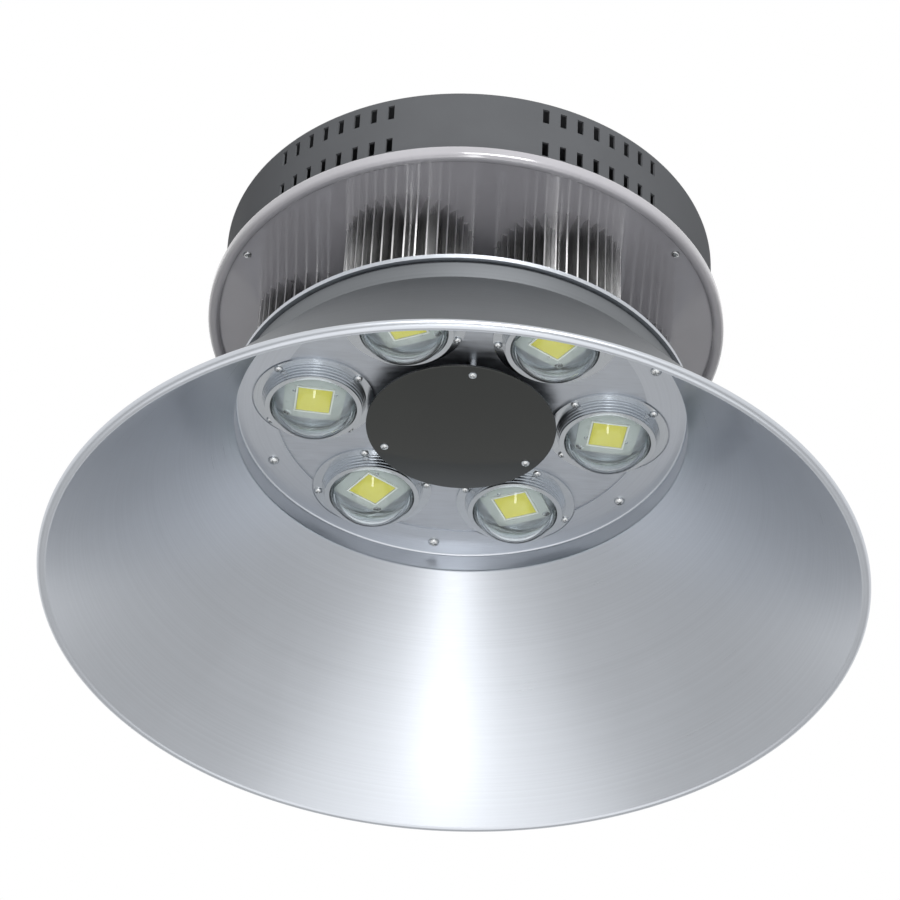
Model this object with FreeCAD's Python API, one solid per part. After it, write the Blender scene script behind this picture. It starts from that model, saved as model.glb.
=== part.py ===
"""High bay light: a spun reflector under a flat plate of six COB lamps, six radial-fin heatsinks and a
round driver housing that hangs from an eye bolt. Millimetres, +Z up, origin at the middle of the
reflector's mouth, so the light stands on its rolled rim."""

import FreeCAD, Part
import math
import os

# ---- driving dimensions ----
LAMPS = 6
LAMP_CIRCLE = 93.0  # radius of the circle that the lamps stand on
LAMP_START = 6.3  # degrees from +X to the first lamp

RIM_RADIUS = 250.0  # outside of the rolled rim
RIM_ROLL = 3.2  # radius of the roll
REFLECTOR_SHEET = 1.2
CONE_TOP = 133.6
COLLAR_HEIGHT = 13.1
COLLAR_GAP = 10.6  # from a lens ring to the collar
COLLAR_BEND = 1.5  # inside
THROAT_BEND = 1.8  # inside
FLANGE_WIDTH = 24.6
SCALLOP_GAP = 1.0  # from a lens ring to the scallop round it

LED_PLATE_OVERHANG = 3.1  # beyond the collar's inside
LED_PLATE_SHEET = 3.0
WIRE_HOLE = 12.0  # radius of the hole for wires in both plates

BOARD_SIDE = 38.0
BOARD_SHEET = 1.6
BOARD_CORNER = 2.0
BOARD_CLEARANCE = 0.5  # from the board's corners to the cup
BOARD_SCREW_EDGE = 0.3  # from a screw's head to the board's edge
EMITTER_SIDE = 21.0
EMITTER_HEIGHT = 1.0

CUP_WALL = 2.46  # at the plate
LENS_SEAT = 6.0  # from the plate to the lens's foot
LENS_LEDGE = 1.8  # width of the ledge that the ring clamps
LENS_EDGE = 1.8  # thickness of that ledge
LENS_WALL = 2.5
DOME_HEIGHT = 18.0
RING_BODY = 3.3  # wall of the stepped ring at its foot
RING_FLANGE = 1.6
RING_STEPS = 4
RING_WALL = 1.4  # at the lip
RING_LIP = 1.4
RING_SCREW_EDGE = 0.15  # from a screw's head to the flange's edges

FIN_COUNT = 36
FIN_TIP_RADIUS = 39.5
FIN_ROOT_RADIUS = 13.0
FIN_ROOT_SHEET = 1.5
FIN_TIP_SHEET = 1.0
HEATSINK_HEIGHT = 66.4
PORT_RADIUS = 3.1  # screw port of the extrusion

DISC_GAP = 6.2  # from the lens domes to the disc
DISC_CLEARANCE = 0.6  # from the rings' lips to the disc
DISC_SHEET = 1.5
DISC_SCREW_INSET = 7.7
DISC_SCREWS = 3
STANDOFF_RADIUS = 2.5

HOUSING_RADIUS = 157.0
HOUSING_SHEET = 1.5
HOUSING_HEIGHT = 57.7  # above its base plate
HOUSING_BEND = 4.0
FOOT_FLANGE = 9.1
FOOT_BEND = 1.5  # inside
LIP_REACH = 7.7  # beyond the drum
LIP_BEND = 1.1  # inside
LIP_ROUND = 3.5
LIP_RISE = 5.7  # above the base plate's underside
LIP_GAP = 0.9

SLOT_WIDTH = 4.0
SLOT_HEIGHT = 11.5
SLOT_PITCH = 4.2  # degrees
SLOTS_IN_ROW = 8
LOWER_SLOTS = 18.0  # above the base plate's underside
UPPER_SLOTS = 13.2  # below the drum's top
SLOT_FACES = (-91.7, 88.3)  # degrees to the middles of the two vented faces
GROUP_OFFSET = 32.4  # degrees from such a middle to each of its two groups
PLATE_SCREW_ANGLES = (-155.5, -32.8, 85.9)
SIDE_SCREW_ANGLES = (-14.0, 166.0)
SIDE_SCREW_RISE = 15.5

DRIVERS = 3
DRIVER_LENGTH = 150.0
DRIVER_WIDTH = 55.0
DRIVER_HEIGHT = 34.0
DRIVER_CIRCLE = 85.0
DRIVER_CLEARANCE = 5.0  # air under each driver
DRIVER_FOOT = 2.5
DRIVER_EAR = 12.0
DRIVER_EAR_WIDTH = 30.0

TERMINAL_LENGTH = 46.0
TERMINAL_WIDTH = 22.0
TERMINAL_HEIGHT = 12.0
TERMINAL_WALL = 1.6
TERMINAL_WALL_RISE = 5.0
TERMINAL_WAYS = 4
TERMINAL_OFFSET = 32.0

EYE_BORE = 14.0
EYE_WALL = 8.0
EYE_THICKNESS = 10.0
EYE_ROUND = 3.0
EYE_COLLAR = 12.0
EYE_COLLAR_HEIGHT = 5.0
EYE_STEM = 6.0
EYE_NUT_FLATS = 19.0
EYE_NUT_HEIGHT = 10.0
STEM_PROUD = 2.0
HANGER_RADIUS = 34.0
HANGER_SHEET = 4.0

GLAND_OFFSET = 70.0
GLAND_NECK = 10.0
GLAND_FLATS = 26.0
GLAND_BASE = 7.0
GLAND_BARREL = 8.5
GLAND_BARREL_HEIGHT = 9.0
GLAND_THREAD = 9.0
GLAND_NUT_FLATS = 24.0
GLAND_NUT_HEIGHT = 13.0
GLAND_NUT_EDGE = 1.06  # left round the mouth
GLAND_MOUTH = 5.5
SEAL_RADIUS = 6.0
SEAL_BORE = 4.0
SEAL_HEIGHT = 14.0
LOCKNUT_HEIGHT = 5.0

M3_SHANK = 1.5
M3_HEAD = 2.7
M3_RISE = 1.8
M3_BITE = 9.0  # length screwed into a port
M4_SHANK = 2.0
M4_HEAD = 3.6
M4_RISE = 2.4
M4_NUT_FLATS = 7.0
M4_NUT_HEIGHT = 3.2
NUT_PROUD = 2.8  # of a screw beyond its sheet, with the nut on it

# ---- sizes worked out from them ----
SQUARE_CORNER = 45  # degrees from a lamp's radial line to its board's corner
LAMP_STEP = 360 / LAMPS
LAMP_ANGLES = [LAMP_START + LAMP_STEP * k for k in range(LAMPS)]
BOARD_DIAGONAL = (BOARD_SIDE / 2 - M3_HEAD - BOARD_SCREW_EDGE) * math.sqrt(2)
CUP_BORE = BOARD_SIDE / math.sqrt(2) - BOARD_CORNER * (math.sqrt(2) - 1) + BOARD_CLEARANCE
LENS_RADIUS = CUP_BORE + CUP_WALL
DOME_RADIUS = LENS_RADIUS - LENS_LEDGE
RING_FIRST_STEP = LENS_RADIUS + RING_BODY
RING_RADIUS = RING_FIRST_STEP + 2 * (M3_HEAD + RING_SCREW_EDGE)
RING_SCREW_CIRCLE = (RING_FIRST_STEP + RING_RADIUS) / 2
COLLAR_RADIUS = LAMP_CIRCLE + RING_RADIUS + COLLAR_GAP  # inside
FLANGE_INNER = COLLAR_RADIUS - FLANGE_WIDTH
FLANGE_SCREW_CIRCLE = (FLANGE_INNER + COLLAR_RADIUS) / 2
DISC_RADIUS = LAMP_CIRCLE - DOME_RADIUS - DISC_GAP
DISC_SCREW_CIRCLE = DISC_RADIUS - DISC_SCREW_INSET
DISC_DROP = LENS_SEAT + LENS_EDGE + RING_LIP + DISC_CLEARANCE
LIP_RADIUS = HOUSING_RADIUS + LIP_REACH
EYE_RADIUS = EYE_BORE + EYE_WALL

FLANGE_FACE = CONE_TOP + COLLAR_HEIGHT
LED_FACE = FLANGE_FACE + REFLECTOR_SHEET
LED_TOP = LED_FACE + LED_PLATE_SHEET
BASE_FACE = LED_TOP + HEATSINK_HEIGHT
BASE_TOP = BASE_FACE + HOUSING_SHEET
HOUSING_TOP = BASE_TOP + HOUSING_HEIGHT
CEILING = HOUSING_TOP - HOUSING_SHEET

M3 = dict(shank=M3_SHANK, head=M3_HEAD, rise=M3_RISE)
M4 = dict(shank=M4_SHANK, head=M4_HEAD, rise=M4_RISE)
HEAD_EDGE = 0.3  # share of a pan head's rise that its rim has

AXIS = FreeCAD.Vector(0, 0, 1)
ORIGIN = FreeCAD.Vector(0, 0, 0)
FLAT = 1e-6


# ---- helpers ----
def vec(x, z, y=0.0):
    return FreeCAD.Vector(x, y, z)


def out_at(shape, radius, angle, turn=0.0):
    """A copy turned about its own Z, moved out along +X and swung round the light's axis."""
    moved = shape.copy()
    moved.rotate(ORIGIN, AXIS, turn)
    moved.translate(FreeCAD.Vector(radius, 0, 0))
    moved.rotate(ORIGIN, AXIS, angle)
    return moved


def raised(shape, height):
    moved = shape.copy()
    moved.translate(FreeCAD.Vector(0, 0, height))
    return moved


def flipped(shape):
    moved = shape.copy()
    moved.rotate(ORIGIN, FreeCAD.Vector(1, 0, 0), 180)
    return moved


def group(solids):
    return Part.makeCompound(list(solids))


def bent_path(points, bends):
    """Edges along the points, with a tangent arc of the given radius at each inner point."""
    edges = []
    start = points[0]
    for before, corner, after, radius in zip(points, points[1:], points[2:], bends):
        back = (before - corner).normalize()
        ahead = (after - corner).normalize()
        half = back.getAngle(ahead) / 2
        reach = radius / math.tan(half)
        middle = corner + (back + ahead).normalize() * (radius / math.sin(half) - radius)
        enter = corner + back * reach
        leave = corner + ahead * reach
        if (enter - start).Length > FLAT:
            edges.append(Part.makeLine(start, enter))
        edges.append(Part.Arc(enter, middle, leave).toShape())
        start = leave
    if (points[-1] - start).Length > FLAT:
        edges.append(Part.makeLine(start, points[-1]))
    return edges


def left_of(direction):
    return vec(-direction.z, direction.x)


def bent_sheet(points, bends, sheet):
    """The section of a bent or spun sheet: its drawn face and a second one, to the left where sheet > 0."""
    runs = [(b - a).normalize() for a, b in zip(points, points[1:])]
    far = [points[0] + left_of(runs[0]) * sheet]
    far_bends = []
    for corner, before, after, radius in zip(points[1:], runs, runs[1:], bends):
        turn = before.x * after.z - before.z * after.x
        far.append(corner + (left_of(before) + left_of(after)) * (sheet / (1 + before.dot(after))))
        far_bends.append(radius - math.copysign(1, turn) * sheet)
    far.append(points[-1] + left_of(runs[-1]) * sheet)
    edges = bent_path(points, bends) + bent_path(far, far_bends)
    edges += [Part.makeLine(points[0], far[0]), Part.makeLine(points[-1], far[-1])]
    return Part.Face(Part.Wire(Part.__sortEdges__(edges)))


def turned(face):
    return face.revolve(ORIGIN, AXIS, 360)


def turned_outline(points):
    return turned(Part.Face(Part.makePolygon([vec(*p) for p in points + points[:1]])))


def disc(radius, height, bottom=0.0, bore=0.0):
    solid = Part.makeCylinder(radius, height, vec(0, bottom))
    return solid.cut(Part.makeCylinder(bore, height, vec(0, bottom))) if bore else solid


def box(length, width, height, bottom=0.0):
    return Part.makeBox(length, width, height, vec(-length / 2, bottom, -width / 2))


def hexagon(flats, height, bottom=0.0):
    corner = vec(flats / math.sqrt(3), bottom)
    ring = [FreeCAD.Rotation(AXIS, 60 * k).multVec(corner) for k in range(7)]
    return Part.Face(Part.makePolygon(ring)).extrude(AXIS * height)


def cap_arc(radius, edge, apex):
    """A round cap's section, from (radius, edge) to the axis at the height of its apex."""
    rise = apex - edge
    ball = (radius**2 + rise**2) / (2 * rise)
    half = math.asin(radius / abs(ball)) / 2
    middle = vec(abs(ball) * math.sin(half), apex - ball * (1 - math.cos(half)))
    return Part.Arc(vec(radius, edge), middle, vec(0, apex)).toShape()


def turned_edges(edges):
    return turned(Part.Face(Part.Wire(Part.__sortEdges__(edges))))


def pan_screw(size, length):
    """Head up, seated at z = 0, with its shank below."""
    shank, head, rise = size["shank"], size["head"], size["rise"]
    rim = rise * HEAD_EDGE
    corners = [(head, rim), (head, 0), (shank, 0), (shank, -length), (0, -length), (0, rise)]
    outline = Part.makePolygon([vec(*c) for c in corners])
    return turned_edges([cap_arc(head, rim, rise), *outline.Edges])


def flat_screw(size, sink, length):
    """Countersunk, flush with z = 0, with its shank below."""
    shank, head = size["shank"], size["head"]
    return turned_outline([(0, 0), (head, 0), (shank, -sink), (shank, -length), (0, -length)])


def at_every_lamp(shape):
    return [out_at(shape, LAMP_CIRCLE, angle) for angle in LAMP_ANGLES]


def diagonal(shape, first, count, reach):
    """Copies on the diagonals of a lamp's square, at the given distance from its middle."""
    return [out_at(shape, reach, first + 360 / count * k) for k in range(count)]


# ---- fasteners, which also drill the pieces that they hold ----
def reflector_screws():
    screw = raised(flipped(pan_screw(M4, REFLECTOR_SHEET + LED_PLATE_SHEET)), FLANGE_FACE)
    return group(out_at(screw, FLANGE_SCREW_CIRCLE, angle + LAMP_STEP / 2) for angle in LAMP_ANGLES)


def ring_screw_four():
    screw = raised(flipped(pan_screw(M3, RING_FLANGE + LED_PLATE_SHEET)), LED_FACE - RING_FLANGE)
    return diagonal(screw, SQUARE_CORNER, 4, RING_SCREW_CIRCLE)


def lens_ring_screws():
    return group(s for one in ring_screw_four() for s in at_every_lamp(one))


def cob_screw_pair():
    length = BOARD_SHEET + LED_PLATE_SHEET + M3_BITE
    screw = raised(flipped(flat_screw(M3, M3_HEAD - M3_SHANK, length)), LED_FACE - BOARD_SHEET)
    return diagonal(screw, -SQUARE_CORNER, 2, BOARD_DIAGONAL)


def cob_screws():
    return group(s for one in cob_screw_pair() for s in at_every_lamp(one))


def heatsink_screws():
    """Two for each heatsink, on the diagonal that keeps them clear of the drivers' feet."""
    screw = raised(pan_screw(M3, HOUSING_SHEET + M3_BITE), BASE_TOP)
    screws = []
    for k, angle in enumerate(LAMP_ANGLES):
        pair = diagonal(screw, SQUARE_CORNER * (-1) ** k, 2, BOARD_DIAGONAL)
        screws += [out_at(s, LAMP_CIRCLE, angle) for s in pair]
    return group(screws)


def disc_screws():
    face = LED_FACE - DISC_DROP - DISC_SHEET
    screw = raised(flipped(pan_screw(M3, DISC_SHEET + DISC_DROP / 2)), face)
    return group(out_at(screw, DISC_SCREW_CIRCLE, a) for a in disc_screw_angles())


def disc_screw_angles():
    return [LAMP_START - LAMP_STEP * 3 / 2 + 360 / DISC_SCREWS * k for k in range(DISC_SCREWS)]


def housing_plate_screws():
    screw = raised(flipped(pan_screw(M3, 2 * HOUSING_SHEET)), BASE_FACE)
    reach = HOUSING_RADIUS - FOOT_FLANGE / 2
    return group(out_at(screw, reach, angle) for angle in PLATE_SCREW_ANGLES)


def radial(shape):
    """A piece built along +Z, laid along +X."""
    moved = shape.copy()
    moved.rotate(ORIGIN, FreeCAD.Vector(0, 1, 0), 90)
    return moved


def side_fixings(shape):
    return group(out_at(raised(shape, BASE_FACE + SIDE_SCREW_RISE), 0, a) for a in SIDE_SCREW_ANGLES)


def housing_side_screws():
    screw = radial(raised(pan_screw(M4, HOUSING_SHEET + M4_NUT_HEIGHT + NUT_PROUD), HOUSING_RADIUS))
    return side_fixings(screw)


def housing_side_nuts():
    seat = math.sqrt((HOUSING_RADIUS - HOUSING_SHEET) ** 2 - M4_NUT_FLATS**2 / 3)
    nut = hexagon(M4_NUT_FLATS, M4_NUT_HEIGHT, seat - M4_NUT_HEIGHT)
    return side_fixings(radial(nut)).cut(housing_side_screws())


def driver_screws():
    screw = raised(pan_screw(M3, DRIVER_FOOT + HOUSING_SHEET), BASE_TOP + DRIVER_FOOT)
    reach = (DRIVER_LENGTH + DRIVER_EAR) / 2
    pair = [screw.translated(FreeCAD.Vector(0, side * reach, 0)) for side in (-1, 1)]
    return group(out_at(s, DRIVER_CIRCLE, a) for s in pair for a in driver_angles())


# ---- reflector and lamps ----
def reflector():
    """One spun sheet: scalloped flange, collar, cone and outward rolled rim."""
    centre = vec(RIM_RADIUS - RIM_ROLL, RIM_ROLL)
    top = vec(COLLAR_RADIUS, CONE_TOP)
    sight = centre - top
    slope = math.atan2(sight.z, sight.x) - math.asin(RIM_ROLL / sight.Length)
    down = vec(math.cos(slope), math.sin(slope))
    under = left_of(down) * -1
    corners = [centre + (under + down) * RIM_ROLL, centre + (down - under) * RIM_ROLL]
    corners += [centre - (under + down) * RIM_ROLL, centre - down * RIM_ROLL]
    path = [vec(FLANGE_INNER, FLANGE_FACE), vec(COLLAR_RADIUS, FLANGE_FACE), top, *corners]
    bends = [COLLAR_BEND, THROAT_BEND + REFLECTOR_SHEET, RIM_ROLL, RIM_ROLL, RIM_ROLL]
    shell = turned(bent_sheet(path, bends, REFLECTOR_SHEET))
    scallop = disc(RING_RADIUS + SCALLOP_GAP, 2 * REFLECTOR_SHEET, FLANGE_FACE - REFLECTOR_SHEET / 2)
    return shell.cut(group(at_every_lamp(scallop))).cut(reflector_screws())


def led_plate():
    plate = disc(COLLAR_RADIUS + LED_PLATE_OVERHANG, LED_PLATE_SHEET, LED_FACE, WIRE_HOLE)
    for drill in (reflector_screws(), lens_ring_screws(), cob_screws(), disc_standoffs(False)):
        plate = plate.cut(drill)
    return plate


def cob_board():
    board = box(BOARD_SIDE, BOARD_SIDE, BOARD_SHEET, LED_FACE - BOARD_SHEET)
    upright = [e for e in board.Edges if abs(e.tangentAt(e.FirstParameter).z) > 0.5]
    return board.makeFillet(BOARD_CORNER, upright).cut(group(cob_screw_pair()))


def cob_emitter():
    return box(EMITTER_SIDE, EMITTER_SIDE, EMITTER_HEIGHT, LED_FACE - BOARD_SHEET - EMITTER_HEIGHT)


def lens_cup():
    """The bright tapered ring round the board, which carries the lens."""
    seat = LED_FACE - LENS_SEAT
    outline = [(CUP_BORE, LED_FACE), (LENS_RADIUS, LED_FACE), (LENS_RADIUS, seat), (DOME_RADIUS, seat)]
    return turned_outline(outline)


def lens():
    """A hollow glass dome with a flat foot and a ledge for the ring."""
    foot = LED_FACE - LENS_SEAT
    edge = foot - LENS_EDGE
    apex = edge - DOME_HEIGHT
    bore = DOME_RADIUS - LENS_WALL
    outer = cap_arc(DOME_RADIUS, edge, apex)
    inner = cap_arc(bore, foot, apex + LENS_WALL)
    rim = [(bore, foot), (LENS_RADIUS, foot), (LENS_RADIUS, edge), (DOME_RADIUS, edge)]
    middle = Part.makeLine(vec(0, apex), vec(0, apex + LENS_WALL))
    return turned_edges([outer, inner, middle, *Part.makePolygon([vec(*p) for p in rim]).Edges])


def lens_ring():
    """The clamping ring, turned in steps, whose lip holds the lens on its cup."""
    lip = LED_FACE - LENS_SEAT - LENS_EDGE
    foot = LED_FACE - RING_FLANGE
    rise = (foot - (lip - RING_LIP)) / RING_STEPS
    inset = (RING_FIRST_STEP - LENS_RADIUS - RING_WALL) / (RING_STEPS - 1)
    outline = [(LENS_RADIUS, lip), (LENS_RADIUS, LED_FACE), (RING_RADIUS, LED_FACE), (RING_RADIUS, foot)]
    for k in range(RING_STEPS):
        reach = RING_FIRST_STEP - inset * k
        outline += [(reach, foot - rise * k), (reach, foot - rise * (k + 1))]
    outline += [(DOME_RADIUS, lip - RING_LIP), (DOME_RADIUS, lip)]
    return turned_outline(outline).cut(group(ring_screw_four()))


def heatsink():
    """A radial-fin extrusion: tapered fins round a core, with four screw ports between them."""
    pitch = 2 * math.pi / FIN_COUNT
    root = math.asin(FIN_ROOT_SHEET / 2 / FIN_ROOT_RADIUS)
    tip = math.asin(FIN_TIP_SHEET / 2 / FIN_TIP_RADIUS)

    def at(radius, angle):
        return FreeCAD.Vector(radius * math.cos(angle), radius * math.sin(angle), 0)

    edges = []
    for k in range(FIN_COUNT):
        a = pitch * k
        corners = [at(FIN_ROOT_RADIUS, a - root), at(FIN_TIP_RADIUS, a - tip)]
        corners += [at(FIN_TIP_RADIUS, a + tip), at(FIN_ROOT_RADIUS, a + root)]
        edges += Part.makePolygon(corners).Edges
        valley = [at(FIN_ROOT_RADIUS, angle) for angle in (a + root, a + pitch / 2, a + pitch - root)]
        edges.append(Part.Arc(*valley).toShape())
    star = Part.Face(Part.Wire(edges)).extrude(AXIS * HEATSINK_HEIGHT)
    ports = diagonal(disc(PORT_RADIUS, HEATSINK_HEIGHT), SQUARE_CORNER, 4, BOARD_DIAGONAL)
    bores = diagonal(disc(M3_SHANK, HEATSINK_HEIGHT), SQUARE_CORNER, 4, BOARD_DIAGONAL)
    return raised(star.fuse(ports).cut(group(bores)).removeSplitter(), LED_TOP)


def centre_disc():
    plate = disc(DISC_RADIUS, DISC_SHEET, LED_FACE - DISC_DROP - DISC_SHEET)
    return plate.cut(disc_screws())


def disc_standoffs(drilled=True):
    """Pillars with a stud that is screwed into the LED plate."""
    pillar = disc(STANDOFF_RADIUS, DISC_DROP, LED_FACE - DISC_DROP)
    stud = disc(M3_SHANK, LED_PLATE_SHEET, LED_FACE)
    post = pillar.fuse(stud)
    posts = group(out_at(post, DISC_SCREW_CIRCLE, a) for a in disc_screw_angles())
    return posts.cut(disc_screws()) if drilled else posts


# ---- driver housing ----
def housing_plate():
    """A spun pan: flat plate whose edge turns down, round and up outside the housing's foot."""
    inner, bottom, top = LIP_RADIUS - 2 * LIP_ROUND, BASE_FACE - LIP_BEND - LIP_ROUND, BASE_FACE + LIP_RISE
    path = [vec(WIRE_HOLE, BASE_FACE), vec(inner, BASE_FACE), vec(inner, bottom)]
    path += [vec(LIP_RADIUS, bottom), vec(LIP_RADIUS, top), vec(HOUSING_RADIUS + LIP_GAP, top)]
    bends = [LIP_BEND, LIP_ROUND, LIP_ROUND, LIP_ROUND]
    plate = turned(bent_sheet(path, bends, HOUSING_SHEET))
    for drill in (heatsink_screws(), driver_screws(), housing_plate_screws()):
        plate = plate.cut(drill)
    return plate


def slot_angles():
    middle = (SLOTS_IN_ROW - 1) / 2
    for face in SLOT_FACES:
        for side in (-GROUP_OFFSET, GROUP_OFFSET):
            for k in range(SLOTS_IN_ROW):
                yield face + side + (k - middle) * SLOT_PITCH


def slots():
    tool = box(4 * HOUSING_SHEET, SLOT_WIDTH, SLOT_HEIGHT, -SLOT_HEIGHT / 2)
    rows = [raised(tool, BASE_FACE + LOWER_SLOTS), raised(tool, HOUSING_TOP - UPPER_SLOTS)]
    return [out_at(t, HOUSING_RADIUS, a) for t in rows for a in slot_angles()]


def driver_housing():
    """A pressed drum, with an inward foot flange and two rows of vents."""
    path = [vec(EYE_STEM, HOUSING_TOP), vec(HOUSING_RADIUS, HOUSING_TOP), vec(HOUSING_RADIUS, BASE_TOP)]
    path.append(vec(HOUSING_RADIUS - FOOT_FLANGE, BASE_TOP))
    shell = turned(bent_sheet(path, [HOUSING_BEND, FOOT_BEND + HOUSING_SHEET], -HOUSING_SHEET))
    gland_hole = disc(GLAND_NECK, 2 * HOUSING_SHEET, CEILING - HOUSING_SHEET / 2)
    shell = shell.cut(out_at(gland_hole, GLAND_OFFSET, 90))
    shell = shell.cut(group([housing_plate_screws(), housing_side_screws()]))
    return shell.cut(group(slots()))


def driver_angles():
    return [LAMP_START + LAMP_STEP / 2 + 360 / DRIVERS * k for k in range(DRIVERS)]


def driver():
    """A sealed driver case that stands on two end feet; its length lies along Y."""
    case = box(DRIVER_WIDTH, DRIVER_LENGTH, DRIVER_HEIGHT, BASE_TOP + DRIVER_CLEARANCE)
    case = case.makeFillet(DRIVER_FOOT, [e for e in case.Edges if abs(e.tangentAt(0).y) > 0.5])
    reach = DRIVER_LENGTH / 2 + DRIVER_EAR
    foot = box(DRIVER_EAR_WIDTH, 2 * reach, DRIVER_FOOT, BASE_TOP)
    foot = foot.cut(box(DRIVER_EAR_WIDTH, DRIVER_LENGTH - 2 * DRIVER_FOOT, DRIVER_FOOT, BASE_TOP))
    riser = box(DRIVER_EAR_WIDTH, DRIVER_LENGTH, DRIVER_CLEARANCE, BASE_TOP)
    riser = riser.cut(box(DRIVER_EAR_WIDTH, DRIVER_LENGTH - 2 * DRIVER_FOOT, DRIVER_CLEARANCE, BASE_TOP))
    return case.fuse([foot, riser]).removeSplitter()


def terminal_block():
    """A barrier strip for the supply wires."""
    block = box(TERMINAL_LENGTH, TERMINAL_WIDTH, TERMINAL_HEIGHT, BASE_TOP)
    step = (TERMINAL_LENGTH - TERMINAL_WALL) / TERMINAL_WAYS
    wall = box(TERMINAL_WALL, TERMINAL_WIDTH, TERMINAL_WALL_RISE, BASE_TOP + TERMINAL_HEIGHT)
    walls = [wall.translated(vec((k - TERMINAL_WAYS / 2) * step, 0)) for k in range(TERMINAL_WAYS + 1)]
    strip = block.fuse(walls).removeSplitter()
    return strip.translated(FreeCAD.Vector(0, TERMINAL_OFFSET, 0))


# ---- suspension and cable entry ----
def stem_end():
    return CEILING - HANGER_SHEET - EYE_NUT_HEIGHT - STEM_PROUD


def eye_bolt():
    """A drop-forged eye: rounded ring with a straight bore, seating collar and threaded stem."""
    ring = disc(EYE_RADIUS, EYE_THICKNESS, -EYE_THICKNESS / 2, EYE_BORE)
    ring = ring.makeFillet(EYE_ROUND, [e for e in ring.Edges if isinstance(e.Curve, Part.Circle)])
    ring.rotate(ORIGIN, FreeCAD.Vector(1, 0, 0), 90)
    ring = raised(ring, HOUSING_TOP + EYE_COLLAR_HEIGHT + EYE_BORE + EYE_WALL / 2)
    neck = Part.makeCone(EYE_COLLAR, EYE_THICKNESS / 2, EYE_COLLAR_HEIGHT, vec(0, HOUSING_TOP))
    stem = disc(EYE_STEM, HOUSING_TOP - stem_end(), stem_end())
    return ring.fuse([neck, stem]).removeSplitter()


def hanger_plate():
    return disc(HANGER_RADIUS, HANGER_SHEET, CEILING - HANGER_SHEET, EYE_STEM)


def eye_nut():
    nut = hexagon(EYE_NUT_FLATS, EYE_NUT_HEIGHT, CEILING - HANGER_SHEET - EYE_NUT_HEIGHT)
    return nut.cut(eye_bolt())


def at_gland(shape):
    return out_at(shape, GLAND_OFFSET, 90)


def gland_body():
    """Hexagon base on the housing, threaded neck through it and a barrel for the seal."""
    barrel_top = GLAND_BASE + GLAND_BARREL_HEIGHT
    body = hexagon(GLAND_FLATS, GLAND_BASE)
    body = body.fuse([disc(GLAND_BARREL, barrel_top), disc(GLAND_NECK, GLAND_THREAD, -GLAND_THREAD)])
    bore = disc(SEAL_RADIUS, barrel_top + GLAND_THREAD, -GLAND_THREAD)
    return at_gland(raised(body.cut(bore).removeSplitter(), HOUSING_TOP))


def gland_nut():
    """Domed compression nut over the barrel."""
    nut = hexagon(GLAND_NUT_FLATS, GLAND_NUT_HEIGHT)
    dome = Part.makeSphere(math.hypot(GLAND_NUT_HEIGHT, GLAND_MOUTH + GLAND_NUT_EDGE))
    hollow = disc(GLAND_BARREL, GLAND_BARREL_HEIGHT).fuse(disc(GLAND_MOUTH, GLAND_NUT_HEIGHT))
    return at_gland(raised(nut.common(dome).cut(hollow).removeSplitter(), HOUSING_TOP + GLAND_BASE))


def gland_seal():
    top = HOUSING_TOP + GLAND_BASE + GLAND_BARREL_HEIGHT
    return at_gland(disc(SEAL_RADIUS, SEAL_HEIGHT, top - SEAL_HEIGHT, SEAL_BORE))


def gland_locknut():
    nut = hexagon(GLAND_FLATS, LOCKNUT_HEIGHT, CEILING - LOCKNUT_HEIGHT)
    return at_gland(nut.cut(disc(GLAND_NECK, LOCKNUT_HEIGHT, CEILING - LOCKNUT_HEIGHT)))


# ---- the nodes ----
def lamp_pieces():
    nodes = {}
    for make in (cob_board, lens_cup, lens, lens_ring, heatsink):
        for k, copy in enumerate(at_every_lamp(make()), 1):
            nodes[f"{make.__name__}_{k}"] = copy
    return nodes


def light():
    nodes = lamp_pieces()
    nodes["cob_emitters"] = group(at_every_lamp(cob_emitter()))
    for k, angle in enumerate(driver_angles(), 1):
        nodes[f"driver_{k}"] = out_at(driver(), DRIVER_CIRCLE, angle).cut(driver_screws())
    single = [
        reflector, reflector_screws, led_plate, lens_ring_screws, cob_screws, centre_disc, disc_standoffs,
        disc_screws, housing_plate, housing_plate_screws, driver_housing, housing_side_screws,
        housing_side_nuts, heatsink_screws, driver_screws, terminal_block, eye_bolt, hanger_plate,
        eye_nut, gland_body, gland_nut, gland_seal, gland_locknut,
    ]
    for make in single:
        nodes[make.__name__] = make()
    return nodes


def main():
    os.makedirs("parts", exist_ok=True)
    for name, shape in light().items():
        shape.exportStep(f"parts/{name}.step")


main()
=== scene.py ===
# %% [markdown]
# A high bay light hangs over a warehouse floor and is seen from below: a spun aluminium reflector,
# six lamps under glass domes, six fin heatsinks and a round driver housing. The CAD model is loaded
# first and fixes every size; the script then dresses it. Lengths are written in millimetres, as on
# a drawing, and turned to metres once.

# %% Load the frame
import math
import bmesh
import bpy
from mathutils import Matrix, Vector


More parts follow.
